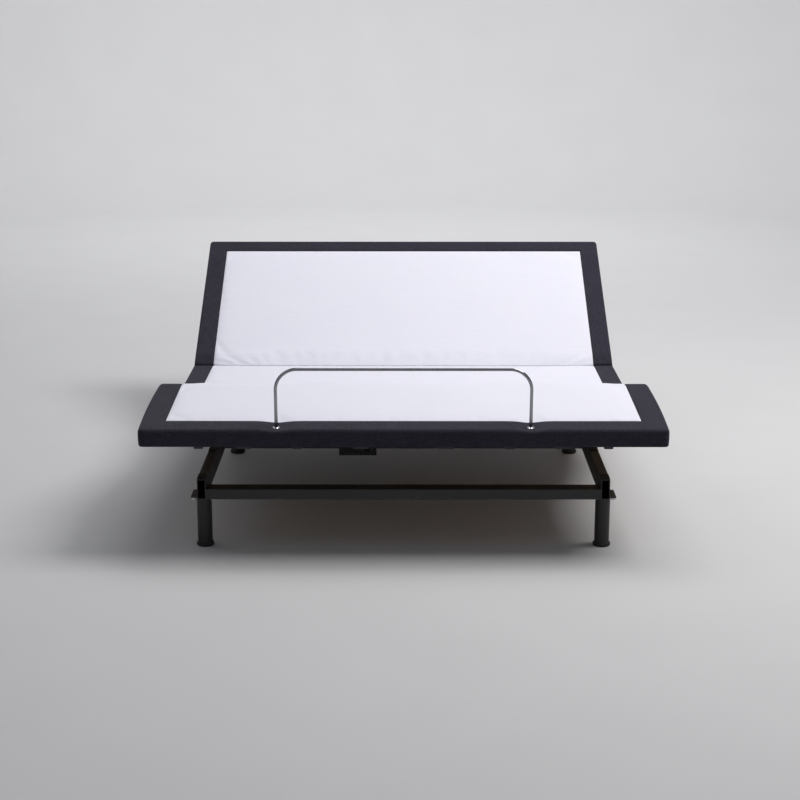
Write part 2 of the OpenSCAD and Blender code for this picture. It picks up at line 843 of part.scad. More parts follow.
module leg_rollers() {
    color(nylon) on_leg_arm() rollers(leg_arm_len);
}

// ---- electric drives ----

// Y runs along the drive from its rear pin to the lever's pin.
module on_head_drive() {
    in_base() translate([-drive_x, head_rear_y, rear_z]) rotate([head_drive_angle, 0, 0])
        mirror([1, 0, 0]) children();
}
module on_leg_drive() {
    in_base() translate([drive_x, leg_rear_y, rear_z]) rotate([-leg_drive_angle, 0, 0])
        mirror([0, 1, 0]) children();
}
module rod_y(radius, from, to) {
    translate([0, from, 0]) rotate([-90, 0, 0]) cylinder(r = radius, h = to - from);
}
motor_x = 62;
motor_r = 29;
motor_len = 130;
module drive_housing() {
    difference() {
        union() {
            slab(eye_w, -eye_w / 2) union() {
                circle(r = eye_r);
                translate([0, -eye_r]) square([30, 2 * eye_r]);
            }
            translate([-30, 28, -34]) cube([motor_x + 62, tube_start - 28, 68]);
            translate([motor_x, 0, 0]) rod_y(motor_r, tube_start - 1, tube_start + motor_len);
            translate([motor_x, 0, 0]) rod_y(motor_r - 8, tube_start, tube_start + motor_len + 7);
        }
        rod_x(pin_r + run_fit, -eye_w, eye_w);
    }
}
module drive_tube(len) {
    difference() {
        union() {
            rod_y(tube_r, tube_start, tube_start + len);
            rod_y(tube_r + 3, tube_start + len - 22, tube_start + len);
        }
        rod_y(rod_r + run_fit, tube_start + 12, tube_start + len + 1);
    }
}
module drive_rod(len) {
    slab(eye_w, -eye_w / 2) union() {
        translate([len, 0]) circle(r = eye_r);
        translate([len - rod_neck, -rod_r + 2]) square([rod_neck, 2 * (rod_r - 2)]);
    }
    rod_y(rod_r, len - rod_len, len - rod_neck + 3);
    translate([0, len, 0]) {
        rod_x(pin_r, -fork_out - 1, fork_out + 1);
        both_sides() rod_x(pin_r + 4, fork_out + 0.4, fork_out + 3);
    }
}
module head_drive_housing() {
    color(black_plastic) on_head_drive() drive_housing();
}
module head_drive_tube() {
    color(zinc) on_head_drive() drive_tube(head_tube_len);
}
module head_drive_rod() {
    color(chrome) on_head_drive() drive_rod(head_drive_len);
}
module leg_drive_housing() {
    color(black_plastic) on_leg_drive() drive_housing();
}
module leg_drive_tube() {
    color(zinc) on_leg_drive() drive_tube(leg_tube_len);
}
module leg_drive_rod() {
    color(chrome) on_leg_drive() drive_rod(leg_drive_len);
}

// Flat links that steady the foot section as the thigh section lifts.
module foot_links() {
    color(zinc) in_base() translate([0, thigh_y - link_root, axis_z - link_drop])
        rotate([-link_angle, 0, 0]) mirror([0, 1, 0]) both_sides()
            slab(link_t, link_x) difference() {
                union() {
                    circle(r = link_r - 2);
                    translate([link_len, 0]) circle(r = link_r);
                    translate([0, -10]) square([link_len, 20]);
                }
                circle(r = pin_r + run_fit);
                for (y = [link_len - link_slot, link_len + link_slot / 5])
                    translate([y, 0]) circle(r = pin_r + link_play);
                translate([link_len - link_slot, -pin_r - link_play])
                    square([1.2 * link_slot, 2 * (pin_r + link_play)]);
            }
}

side_rails();
cross_rails();
motor_rails();
headboard_plates();
deck_pads();
frame_hinge_ears();
pivot_pins();
shaft_brackets();
shaft_bushes();
motor_brackets();
control_box();
power_supply();
legs();
leg_plates();
leg_glides();
seat_board();
seat_foam();
seat_border();
seat_panel();
head_board();
head_foam();
head_border();
head_panel();
head_frame();
head_hinge_ears();
head_glide_strips();
thigh_board();
thigh_foam();
thigh_border();
thigh_panel();
thigh_frame();
thigh_hinge_ears();
thigh_glide_strips();
foot_board();
foot_foam();
foot_border();
foot_panel();
foot_frame();
knee_ears();
knee_pins();
link_brackets();
cover_clips();
retainer_sockets();
retainer_bar();
head_shaft();
head_lift_arms();
head_drive_lever();
head_rollers();
leg_shaft();
leg_lift_arms();
leg_drive_lever();
leg_rollers();
head_drive_housing();
head_drive_tube();
head_drive_rod();
leg_drive_housing();
leg_drive_tube();
leg_drive_rod();
foot_links();
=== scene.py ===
import json
import math

import bmesh
import bpy
import numpy as np
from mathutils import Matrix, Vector


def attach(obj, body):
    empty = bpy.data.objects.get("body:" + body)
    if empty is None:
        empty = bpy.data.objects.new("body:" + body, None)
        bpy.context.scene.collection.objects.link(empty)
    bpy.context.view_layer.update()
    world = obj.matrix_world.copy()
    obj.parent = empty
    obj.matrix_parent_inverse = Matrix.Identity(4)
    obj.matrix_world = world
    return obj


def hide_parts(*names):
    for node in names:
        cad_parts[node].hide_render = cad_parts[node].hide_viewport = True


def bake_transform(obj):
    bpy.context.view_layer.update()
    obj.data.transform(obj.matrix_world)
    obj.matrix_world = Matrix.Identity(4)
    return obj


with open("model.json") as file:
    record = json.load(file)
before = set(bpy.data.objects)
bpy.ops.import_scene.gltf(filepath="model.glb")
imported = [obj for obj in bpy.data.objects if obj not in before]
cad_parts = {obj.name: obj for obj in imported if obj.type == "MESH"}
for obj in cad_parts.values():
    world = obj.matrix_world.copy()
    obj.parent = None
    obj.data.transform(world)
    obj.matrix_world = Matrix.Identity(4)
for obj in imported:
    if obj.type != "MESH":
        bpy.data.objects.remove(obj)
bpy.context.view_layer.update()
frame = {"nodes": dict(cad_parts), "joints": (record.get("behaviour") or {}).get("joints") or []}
joint_at = {j["name"]: np.array(j["pos_m"]) for j in frame["joints"] if j.get("pos_m")}


# ---------------------------------------------------------------------------
# Camera: low, straight in front of the foot end, looking a little down.
# ---------------------------------------------------------------------------
camera_data = bpy.data.cameras.new("camera")
camera_data.lens = 73.1
camera_data.sensor_width = 36.0
camera_data.clip_end = 60.0
camera = bpy.data.objects.new("camera", camera_data)
bpy.context.scene.collection.objects.link(camera)
eye_down, eye_turn = 14.466, 0.106
eye_pitch, eye_yaw = math.radians(90 - eye_down), math.radians(eye_turn)
eye_aside, eye_back, eye_up = -0.0017, 5.764, 1.3861
camera.location = (eye_aside, joint_at["head_tilt"][1] - eye_back, joint_at["head_tilt"][2] + eye_up)
camera.rotation_euler = (eye_pitch, 0.0, eye_yaw)
bpy.context.scene.camera = camera


# ---------------------------------------------------------------------------
# Studio: a round pale floor that curves up into a wall, a soft key from the
# upper right, a weaker fill from the left and an even, dim sky.
# ---------------------------------------------------------------------------
def new_mesh(name, points, faces, smooth=True):
    """A mesh object in the row frame from an array of points and a list or array of faces."""
    mesh = bpy.data.meshes.new(name)
    mesh.from_pydata(np.asarray(points, float).tolist(), [], [list(map(int, f)) for f in faces])
    mesh.polygons.foreach_set("use_smooth", np.full(len(mesh.polygons), smooth))
    mesh.update()
    piece = bpy.data.objects.new(name, mesh)
    bpy.context.scene.collection.objects.link(piece)
    return piece


def grid_faces(rows, columns, wrap=False):
    """Quads that join a grid of rows x columns points; wrap also joins the last column to the first."""
    r, c = np.meshgrid(np.arange(rows - 1), np.arange(columns if wrap else columns - 1), indexing="ij")
    a, b = r * columns + c, r * columns + (c + 1) % columns
    return np.stack([a, b, b + columns, a + columns], axis=-1).reshape(-1, 4)


class Wire:
    """A socket of a shader; sums, products and powers of wires and numbers add Math nodes."""

    def __init__(self, finish, socket):
        self.finish, self.socket = finish, socket

    def _math(self, operation, a, b=0.0):
        return self.finish.node("ShaderNodeMath", {"operation": operation}, {0: a, 1: b})

    def __add__(self, other):
        return self._math("ADD", self, other)

    __radd__ = __add__

    def __sub__(self, other):
        return self._math("SUBTRACT", self, other)

    def __rsub__(self, other):
        return self._math("SUBTRACT", other, self)

    def __mul__(self, other):
        return self._math("MULTIPLY", self, other)

    __rmul__ = __mul__

    def __truediv__(self, other):
        return self._math("DIVIDE", self, other)

    def __pow__(self, other):
        return self._math("POWER", self, other)

    def sine(self):
        return self._math("SINE", self)

    def size(self):
        return self._math("ABSOLUTE", self)

    def clipped(self):
        return self._math("MINIMUM", self._math("MAXIMUM", self, 0.0), 1.0)


class Finish:
    """One material. node() adds any shader node: its type, its settings, then its sockets."""

    def __init__(self, name):
        self.material = bpy.data.materials.new(name)
        self.material.use_nodes = True
        self.tree = self.material.node_tree
        self.surface = self.tree.nodes["Principled BSDF"]

    def plug(self, socket, value):
        if isinstance(value, Wire):
            self.tree.links.new(value.socket, socket)
        else:
            socket.default_value = value

    def node(self, kind, settings=None, inputs=None, out=0):
        made = self.tree.nodes.new(kind)
        for key, value in (settings or {}).items():
            if key == "stops":
                for k, (at, shade) in enumerate(value):
                    stop = made.color_ramp.elements[k] if k < 2 else made.color_ramp.elements.new(at)
                    stop.position, stop.color = at, shade
            else:
                setattr(made, key, value)
        for key, value in (inputs or {}).items():
            self.plug(made.inputs[key], value)
        return Wire(self, made.outputs[out])

    def object_place(self):
        return self.node("ShaderNodeTexCoord", out="Object")

    def cloth_place(self):
        """The piece's own UV map, which is in metres across and along the cloth."""
        return self.node("ShaderNodeUVMap", {"uv_map": "cloth"})

    def parts(self, vector):
        split = self.node("ShaderNodeSeparateXYZ", inputs={"Vector": vector}).socket.node
        return [Wire(self, split.outputs[k]) for k in range(3)]

    def noise(self, place, scale, detail=3.0, rough=0.5, stretch=(1, 1, 1)):
        moved = self.node("ShaderNodeMapping", inputs={"Vector": place, "Scale": stretch})
        return self.node("ShaderNodeTexNoise", inputs={
            "Vector": moved, "Scale": scale, "Detail": detail, "Roughness": rough})

    def between(self, share, low, high):
        return self.node("ShaderNodeMix", {"data_type": "RGBA"},
                         {"Factor": share, "A": (*low, 1.0) if isinstance(low, tuple) else low,
                          "B": (*high, 1.0) if isinstance(high, tuple) else high}, out="Result")

    def bump(self, height, depth, strength=1.0):
        return self.node("ShaderNodeBump", inputs={"Height": height, "Distance": depth, "Strength": strength})

    def wear(self, **sockets):
        """Sets the surface's own sockets, by name with underscores, and gives back the material."""
        for key, value in sockets.items():
            self.plug(self.surface.inputs[key.replace("_", " ")], value)
        return self.material


floor_finish = Finish("studio_floor")
speckle = floor_finish.noise(floor_finish.object_place(), 3.0)
studio_grey = floor_finish.wear(
    Base_Color=floor_finish.between(speckle, (0.58, 0.58, 0.59), (0.61, 0.61, 0.62)), Roughness=0.85)

middle_r, flat_r, wall_r, wall_h, cove_r = 0.5, 3.0, 8.2, 6.0, 1.6
bend = np.linspace(0, math.pi / 2, 14)
cove_curve = np.column_stack([wall_r - cove_r + cove_r * np.sin(bend), cove_r - cove_r * np.cos(bend)])
cove = np.concatenate([[[middle_r, 0.0], [flat_r, 0.0]], cove_curve, [[wall_r, wall_h]]])
around = np.linspace(0, 2 * math.pi, 96, endpoint=False)
points = np.stack([cove[:, :1] * np.cos(around), cove[:, :1] * np.sin(around),
                   np.repeat(cove[:, 1:], len(around), axis=1)], axis=-1)
middle = [list(range(len(around)))]
rings = grid_faces(len(cove), len(around), wrap=True)[:, ::-1].tolist()
floor = new_mesh("floor", points.reshape(-1, 3), rings + middle)
floor.data.materials.append(studio_grey)

sky = bpy.data.worlds.new("sky")
sky.use_nodes = True
sky.node_tree.nodes["Background"].inputs["Color"].default_value = (0.90, 0.93, 1.0, 1.0)
sky.node_tree.nodes["Background"].inputs["Strength"].default_value = 0.20
bpy.context.scene.world = sky
bpy.context.scene.view_settings.view_transform = "Standard"


def softbox(name, place, aim, width, height, power, tint=(1.0, 1.0, 1.0)):
    """A rectangular studio light at place, turned towards aim."""
    data = bpy.data.lights.new(name, "AREA")
    data.shape, data.size, data.size_y = "RECTANGLE", width, height
    data.energy, data.color = power, tint
    light = bpy.data.objects.new(name, data)
    light.location = place
    light.rotation_euler = (Vector(aim) - Vector(place)).to_track_quat("-Z", "Y").to_euler()
    bpy.context.scene.collection.objects.link(light)
    return light


deck_middle = (0.0, 0.0, 0.35)
softbox("key", (2.7, -0.4, 4.3), deck_middle, 2.0, 2.4, 165.0, (1.0, 0.985, 0.965))
softbox("fill", (-3.0, 0.2, 3.6), deck_middle, 2.0, 2.0, 12.0, (0.93, 0.96, 1.0))
softbox("top", (0.4, 0.9, 4.6), deck_middle, 3.0, 2.0, 62.0)
softbox("wall", (0.0, 4.4, 4.8), (0.0, 8.2, 1.0), 6.0, 1.0, 230.0)


# ---------------------------------------------------------------------------
# White top panels: a smooth knitted cloth over 32 mm of foam, in three lengths
# (head and seat, thigh, foot). Each is a pad glued down on its boards, shaped
# along the deck, which is eased into a short arc at each hinge.
# ---------------------------------------------------------------------------
head_hinge, thigh_hinge, knee = joint_at["head_tilt"][1:], joint_at["leg_lift"][1:], joint_at["knee_bend"][1:]
seat_len = head_hinge[0] - thigh_hinge[0]
thigh_len = float(np.hypot(*(knee - thigh_hinge)))
head_len, foot_len = 0.725, 0.447
thigh_slope = -math.atan2(knee[1] - thigh_hinge[1], thigh_hinge[0] - knee[0])
hinge_s = np.array([-(seat_len + thigh_len), -seat_len, 0.0])
hinge_yz = np.array([knee, thigh_hinge, head_hinge])
foot_slope, head_slope = math.radians(3.196), math.radians(30.0)
slopes = np.array([foot_slope, thigh_slope, 0.0, head_slope])
ease = 0.020


def deck_line(s):
    """Place and direction of the hinge plane at distance s from the head hinge, towards the head:
    straight along each section's slope, and on a circle's arc within ease of a hinge, where the
    direction turns evenly from one slope to the next."""
    s = np.asarray(s, float)
    part = np.searchsorted(hinge_s, s)
    anchor = np.where(part == 0, 0, part - 1)
    slope = slopes[part]
    run = s - hinge_s[anchor]
    place = hinge_yz[anchor] + run[..., None] * np.stack([np.cos(slope), np.sin(slope)], -1)
    for at, corner, before, after in zip(hinge_s, hinge_yz, slopes[:-1], slopes[1:]):
        near = np.abs(s - at) < ease
        share = (s - at + ease) / (2 * ease)
        turn = after - before
        radius = ease / math.tan(turn / 2)
        along = radius * np.sin(share * turn)
        across = radius * (1 - np.cos(share * turn))
        ahead = np.array([math.cos(before), math.sin(before)])
        up = np.array([-math.sin(before), math.cos(before)])
        arc = corner - ease * ahead + along[..., None] * ahead + across[..., None] * up
        place = np.where(near[..., None], arc, place)
        slope = np.where(near, before + share * turn, slope)
    return place, slope


def on_deck(x, s, v):
    """Points of the row frame at side position x, deck distance s and height v above the hinge plane."""
    x, s, v = np.broadcast_arrays(x, s, v)
    place, slope = deck_line(s)
    return np.stack([x, place[..., 0] - v * np.sin(slope), place[..., 1] + v * np.cos(slope)], -1)


deck_half, skin_top = 0.762, 0.0335
seam_half = deck_half - 0.0685
foot_end, head_end = hinge_s[0] - foot_len, head_len
foot_seam, head_seam = foot_end + 0.085, head_end - 0.062
post_x, post_s, socket_dip = 0.3675, foot_end + 0.045, 0.0085
head_split, knee_split = -0.315, hinge_s[0] + 0.080


def bell(x, middle, spread):
    """A smooth bump: e to the minus the square of the distance from middle over spread."""
    return np.exp(-((x - middle) / spread) ** 2)


def cover_height(x, s):
    """The cover's top: flat, drawn into a fold at each hinge that rolls up softly on the head side,
    with a narrow tuck in the head hinge's fold, and pulled down round the bar's two sockets. The
    head fold runs up towards the head beside the seams."""
    lift = 0.012 * np.exp(-np.maximum(seam_half - np.abs(x), 0) / 0.030)
    from_head = s - lift - hinge_s[2]
    head_fold = np.where(from_head > 0, bell(from_head, 0, 0.030), bell(from_head, 0, 0.020))
    tuck = bell(from_head, 0.0005, 0.0058)
    roll = bell(from_head, 0.062, 0.026)
    from_thigh = s - hinge_s[1]
    thigh_fold = np.where(from_thigh < 0, bell(from_thigh, 0, 0.022), bell(from_thigh, 0, 0.008))
    knee_line = bell(s, hinge_s[0] - 0.004, 0.0035)
    socket = sum(bell(x, side * post_x, 0.034) * bell(s, post_s, 0.055) for side in (-1, 1))
    return (skin_top - 0.0065 * head_fold - 0.0120 * tuck + 0.0016 * roll - 0.005 * thigh_fold
            - 0.0012 * knee_line - socket_dip * socket)


def spaced(start, stop, step):
    """Deck distances from start to stop, about step apart, and closer beside each hinge: 2.5 mm
    apart, and 1.4 mm in the crease itself."""
    marks = [np.linspace(start, stop, int(round((stop - start) / step)) + 1)]
    for reach, tight in ((0.045, 0.0025), (0.0145, 0.0014)):
        near = (hinge_s[:, None] + np.arange(-reach, reach + 0.0001, tight)).ravel()
        marks.append(near[(near > start + tight) & (near < stop - tight)])
    marks = np.unique(np.round(np.concatenate(marks), 5))
    keep = np.concatenate([[True], np.diff(marks) > 0.0009])
    keep[-1] = True
    return marks[keep]


def lay_cloth(piece, across, along):
    """Gives the piece a UV map named cloth, in metres across and along the cloth, from an array of
    each vertex's two distances."""
    mesh = piece.data
    layer = mesh.uv_layers.new(name="cloth")
    corner = np.zeros(len(mesh.loops), np.int32)
    mesh.loops.foreach_get("vertex_index", corner)
    layer.data.foreach_set("uv", np.column_stack([across, along])[corner].astype(np.float32).ravel())


def knit_finish():
    """White interlock knit: rows of loops 1.6 by 2.1 mm, uneven yarn, and faint cloudy patches of lighter and
    darker tone.
    """
    cloth = Finish("white_knit")
    place = cloth.cloth_place()
    across, along, _ = cloth.parts(place)
    loops = (across * (2 * math.pi / 0.0016)).sine() * (along * (2 * math.pi / 0.0021)).sine()
    slub = cloth.noise(place, 900.0, 2.0, 0.6, (1.0, 0.35, 1.0))
    cloud = cloth.noise(place, 5.0, 3.0, 0.55)
    pucker = cloth.noise(place, 26.0, 3.0, 0.5, (1.0, 2.2, 1.0))
    tone = (cloud * 0.6 + slub * 0.4).clipped()
    height = loops * 0.10 + slub * 0.30 + pucker * 3.0
    return cloth.wear(
        Base_Color=cloth.between(tone, (0.735, 0.735, 0.835), (0.795, 0.790, 0.865)),
        Roughness=0.80 + slub * 0.15, Specular_IOR_Level=0.25, Sheen_Weight=0.15, Sheen_Roughness=0.5,
        Normal=cloth.bump(height, 0.0007, 0.55))


def foam_finish():
    """Grey polyurethane foam: open cells of two sizes."""
    foam = Finish("grey_foam")
    cells = foam.node("ShaderNodeTexVoronoi", inputs={"Vector": foam.object_place(), "Scale": 700.0})
    patch = foam.noise(foam.object_place(), 60.0)
    return foam.wear(Base_Color=foam.between(patch, (0.20, 0.215, 0.24), (0.31, 0.33, 0.36)),
                     Roughness=0.95, Normal=foam.bump(cells, 0.0008, 0.7))


white_knit, grey_foam = knit_finish(), foam_finish()
pad_low, seam_dip = 0.0015, 0.0035


def relax(piece, held, most):
    """Lets a pad's cloth find its own shape: it is cut a little large, held at its seams and
    underside, and pushed from inside for 20 steps. No point moves further than most."""
    rest = np.zeros(len(piece.data.vertices) * 3, np.float32)
    piece.data.vertices.foreach_get("co", rest)
    piece.vertex_groups.new(name="held").add(np.flatnonzero(held).tolist(), 1.0, "REPLACE")
    cloth = piece.modifiers.new("relax", "CLOTH")
    cloth.settings.quality = 4
    cloth.settings.mass = 0.25
    cloth.settings.tension_stiffness = cloth.settings.compression_stiffness = 30
    cloth.settings.shear_stiffness, cloth.settings.bending_stiffness = 12, 1.2
    cloth.settings.vertex_group_mass = "held"
    cloth.settings.shrink_min = -0.006
    cloth.settings.use_pressure, cloth.settings.uniform_pressure_force = True, 1.2
    cloth.settings.effector_weights.gravity = 0.0
    cloth.point_cache.frame_start, cloth.point_cache.frame_end = 1, 20
    for step in range(1, 21):
        bpy.context.scene.frame_set(step)
    settled = piece.evaluated_get(bpy.context.evaluated_depsgraph_get()).data
    moved = np.zeros_like(rest)
    settled.vertices.foreach_get("co", moved)
    shift = (moved - rest).reshape(-1, 3)
    length = np.linalg.norm(shift, axis=1, keepdims=True)
    shift *= most * np.tanh(length / most) / np.maximum(length, 1e-9)
    piece.modifiers.remove(cloth)
    piece.data.vertices.foreach_set("co", (rest.reshape(-1, 3) + shift).ravel())
    piece.data.update()
    bpy.context.scene.frame_set(1)


def top_panel(name, start, stop, seam_at_start, seam_at_stop):
    """A pad between two deck distances. Its top is the cover's height, rounded down to the seam
    along its sides as a pillow is: the drop falls off as e to the minus distance over 4 mm."""
    rows = spaced(start, stop, 0.011)
    edge = np.array([0.0, 0.001, 0.0025, 0.005, 0.009, 0.015])
    half = np.concatenate([edge, np.linspace(0.024, seam_half, 62)])
    columns = np.concatenate([-seam_half + half, (seam_half - half)[::-1][1:]])
    if seam_at_start:
        rows = np.unique(np.concatenate([start + edge, rows[rows > start + 0.02]]))
    if seam_at_stop:
        rows = np.unique(np.concatenate([stop - edge, rows[rows < stop - 0.02]]))
    s, x = np.meshgrid(rows, columns, indexing="ij")
    from_side = seam_half - np.abs(x)
    from_start = s - start if seam_at_start else np.full_like(s, 1.0)
    from_stop = stop - s if seam_at_stop else np.full_like(s, 1.0)
    nearest = np.minimum(from_side, np.minimum(from_start, from_stop))
    dip = seam_dip * np.exp(-nearest / 0.004)
    swell = 0.0012 * (1 - np.exp(-nearest / 0.05))
    top = on_deck(x, s, cover_height(x, s) - dip + swell)
    low = on_deck(x, s, np.full_like(s, pad_low))
    count, (n, m) = s.size, s.shape
    lid = grid_faces(n, m)
    rim = np.concatenate([np.arange(m), np.arange(1, n) * m + m - 1,
                          (n - 1) * m + np.arange(m - 2, -1, -1), np.arange(n - 2, 0, -1) * m])
    wall = np.stack([rim, np.roll(rim, -1)], -1)
    wall = np.stack([wall[:, 0], wall[:, 0] + count, wall[:, 1] + count, wall[:, 1]], -1)
    piece = new_mesh(name, np.concatenate([top.reshape(-1, 3), low.reshape(-1, 3)]),
                     np.concatenate([lid, lid[:, ::-1] + count, wall]))
    lay_cloth(piece, np.tile(x.ravel(), 2), np.tile(s.ravel(), 2))
    from_hinge = np.min(np.abs(s[..., None] - hinge_s), axis=-1)
    from_split = np.minimum(s - start, stop - s)
    free = (from_side > 0.004) & (from_hinge > 0.012) & (from_split > 0.004)
    relax(piece, np.concatenate([~free.ravel(), np.ones(count, bool)]), 0.0022)
    piece.data.set_sharp_from_angle(angle=math.radians(50))
    piece.data.materials.append(white_knit)
    piece.data.materials.append(grey_foam)
    index = np.ones(len(piece.data.polygons), np.int32)
    index[:len(lid)] = 0
    piece.data.polygons.foreach_set("material_index", index)
    return piece


def bend_span(at, reach=0.040):
    """Two points on the deck line, reach either side of a hinge."""
    return [tuple(on_deck(0.0, at + side * reach, 0.0)) for side in (-1, 1)]


spans = {
    "head": ("frame", "head_section", *bend_span(hinge_s[2])),
    "thigh": ("thigh_section", "frame", *bend_span(hinge_s[1])),
    "foot": ("foot_section", "thigh_section", *bend_span(hinge_s[0])),
}


def join_to_deck(piece):
    """Bakes the piece's placement into its mesh."""
    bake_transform(piece)


for name, section, start, stop, seam_first, seam_last, nodes in (
        ("head_top_panel", "head", head_split, head_seam, False, True,
         ("head_panel", "head_foam", "seat_panel", "seat_foam")),
        ("thigh_top_panel", "thigh", knee_split, head_split, False, False, ("thigh_panel", "thigh_foam")),
        ("foot_top_panel", "foot", foot_seam, knee_split, True, False, ("foot_panel", "foot_foam"))):
    panel = top_panel(name, start, stop, seam_first, seam_last)
    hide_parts(*nodes)
    join_to_deck(panel)


# ---------------------------------------------------------------------------
# Dark border: charcoal linen sewn to the panels, drawn over the foam's edge,
# down the sides and 40 mm in under the boards, with mitred corners.
# ---------------------------------------------------------------------------
def linen_finish():
    """Plain-woven linen: slubbed yarns both ways, lighter where a yarn is thick."""
    cloth = Finish("charcoal_linen")
    place = cloth.cloth_place()
    across, along, _ = cloth.parts(place)
    warp = cloth.noise(place, 150.0, 3.0, 0.65, (7.0, 0.22, 1.0))
    weft = cloth.noise(place, 150.0, 3.0, 0.65, (0.3, 6.0, 1.0))
    over = (across * (2 * math.pi / 0.0017)).sine() * (along * (2 * math.pi / 0.0017)).sine()
    cloud = cloth.noise(place, 6.0, 2.0, 0.5)
    tone = ((warp * 1.15 + weft * 0.85) * 1.9 - 1.4 + over * 0.10 + (cloud - 0.5) * 0.3).clipped()
    height = warp * 0.9 + weft * 0.9 + over * 0.55
    return cloth.wear(
        Base_Color=cloth.between(tone, (0.011, 0.010, 0.018), (0.050, 0.046, 0.070)),
        Roughness=0.92 - 0.14 * tone, Specular_IOR_Level=0.20, Sheen_Weight=0.05, Sheen_Roughness=0.45,
        Normal=cloth.bump(height, 0.0009, 0.8))


charcoal_linen = linen_finish()
skin_low, hem, cloth_thick = -0.0195, 0.040, 0.0015
top_round, low_round, corner_round, seam_corner = 0.009, 0.004, 0.013, 0.005


def rim_profile():
    """The border from the seam to the hem, as share of the top strip, inset from the edge and drop:
    across the top, a quarter circle, down the side, a smaller quarter circle, and back underneath."""
    rows = [(t, None, 0.0) for t in (0.0, 0.012, 0.04, 0.09, 0.18, 0.30, 0.43, 0.57, 0.71, 0.85)]
    rows += [(1.0, top_round * (1 - math.sin(a)), top_round * (1 - math.cos(a)))
             for a in np.linspace(0, math.pi / 2, 7)]
    drop = skin_top - skin_low
    rows += [(1.0, 0.0, top_round + t * (drop - top_round - low_round)) for t in np.linspace(0.12, 0.88, 7)]
    rows += [(1.0, low_round * (1 - math.cos(a)), drop - low_round * (1 - math.sin(a)))
             for a in np.linspace(0, math.pi / 2, 5)]
    return rows + [(1.0, low_round + t * (hem - low_round), drop) for t in (0.25, 0.5, 0.75, 1.0)]


def side_path(start, stop, side):
    """Seam and edge points, as (x, s), and the inward direction, up one side of the deck."""
    s = spaced(start, stop, 0.012)
    flat = np.zeros_like(s)
    return (np.column_stack([flat + side * seam_half, s]), np.column_stack([flat + side * deck_half, s]),
            np.column_stack([flat - side, flat]))


def end_path(split, end, seam_end, last_hinge):
    """The same from a split down one side, round a quarter circle, along the deck's end, and back.
    Past the last hinge the seam's points fall behind the edge's, in proportion to distance."""
    out = math.copysign(1.0, end - split)
    stop, seam_stop = end - out * corner_round, seam_end - out * seam_corner
    s = spaced(min(split, stop), max(split, stop), 0.012)[::int(out)]
    share = np.clip((s - last_hinge - out * 0.05) / (stop - last_hinge - out * 0.05), 0, 1)
    side_edge = np.column_stack([np.full_like(s, deck_half), s])
    side_seam = np.column_stack([np.full_like(s, seam_half), s - share * (stop - seam_stop)])
    turn = np.linspace(0, math.pi / 2, 9)[1:-1]
    round_off = np.column_stack([1 - np.cos(turn), out * (1 - np.sin(turn))])
    arc_edge = np.array([deck_half, end]) - corner_round * round_off
    arc_seam = np.array([seam_half, seam_end]) - seam_corner * round_off
    even = np.linspace(1, -1, 150)
    end_edge = np.column_stack([even * (deck_half - corner_round), np.full_like(even, end)])
    end_seam = np.column_stack([even * (seam_half - seam_corner), np.full_like(even, seam_end)])
    side_in = np.tile([-1.0, 0.0], (len(s), 1))
    arc_in = -np.column_stack([np.cos(turn), out * np.sin(turn)])
    end_in = np.tile([0.0, -out], (len(even), 1))
    flip = np.array([-1.0, 1.0])
    return [np.concatenate([side, arc, middle, (arc * flip)[::-1], (side * flip)[::-1]])
            for side, arc, middle in ((side_seam, arc_seam, end_seam), (side_edge, arc_edge, end_edge),
                                      (side_in, arc_in, end_in))]


def side_folds(s, drop):
    """Outward folds that the cover's side makes beside a hinge: a wave along the deck that fades
    with distance from the hinge and is deepest half way down the side."""
    wave = sum((1 + np.sin((s - at) / 0.0065)) * bell(s, at, 0.026) for at in hinge_s[1:])
    return 0.0008 * wave * math.sin(min(drop / (skin_top - skin_low), 1.0) * math.pi)


def side_bow(s):
    """How far the foot section's sides bulge between the knee and the end: half a sine wave."""
    return 0.005 * np.sin(np.clip((hinge_s[0] + 0.02 - s) / (hinge_s[0] + 0.02 - foot_end), 0, 1) * math.pi)


def border(name, path, end=None):
    """The rim's profile carried along a path: each point is the edge point moved inward, or a share
    of the way from the seam to the edge, at the cover's height less the drop. Under the board the
    points stop at the mitre. Gives the mesh and each row's distance from the seam."""
    seam, edge, inward = path
    rows, run = [], [0.0]
    for share, inset, drop in rim_profile():
        on_top = inset is None
        flat = seam + share * (edge + top_round * inward - seam) if on_top else edge + inset * inward
        if drop > top_round:
            flat[:, 0] = np.clip(flat[:, 0], inset - deck_half, deck_half - inset)
            if end is not None:
                flat[:, 1] = np.minimum(flat[:, 1], end - inset) if end > 0 else np.maximum(
                    flat[:, 1], end + inset)
        fade = min(drop / 0.02, 1.0)
        height = (1 - fade) * cover_height(flat[:, 0], flat[:, 1]) + fade * skin_top
        groove = 0.0030 * math.exp(-share * 0.06 / 0.003) if on_top else 0.0
        bow = side_folds(flat[:, 1], drop) + 0.0010 * math.sin(min(1.0, drop / 0.053) * math.pi)
        bow = bow + side_bow(flat[:, 1]) * share * (inset is None or inset < 0.012)
        bowed = flat - inward * np.reshape(bow, (-1, 1))
        rows.append(on_deck(bowed[:, 0], bowed[:, 1], height - groove - drop))
        if len(rows) > 1:
            run.append(run[-1] + float(np.median(np.linalg.norm(rows[-1] - rows[-2], axis=1))))
    points = np.stack(rows, axis=1)
    n, m = points.shape[:2]
    along = np.concatenate([[0.0], np.cumsum(np.linalg.norm(np.diff(edge, axis=0), axis=1))])
    outward = (edge[1] - edge[0])[1] * edge[0, 0] > 0
    faces = grid_faces(n, m)
    piece = new_mesh(name, points.reshape(-1, 3), faces if outward else faces[:, ::-1])
    lay_cloth(piece, np.tile(np.array(run), n), np.repeat(along, m))
    return piece


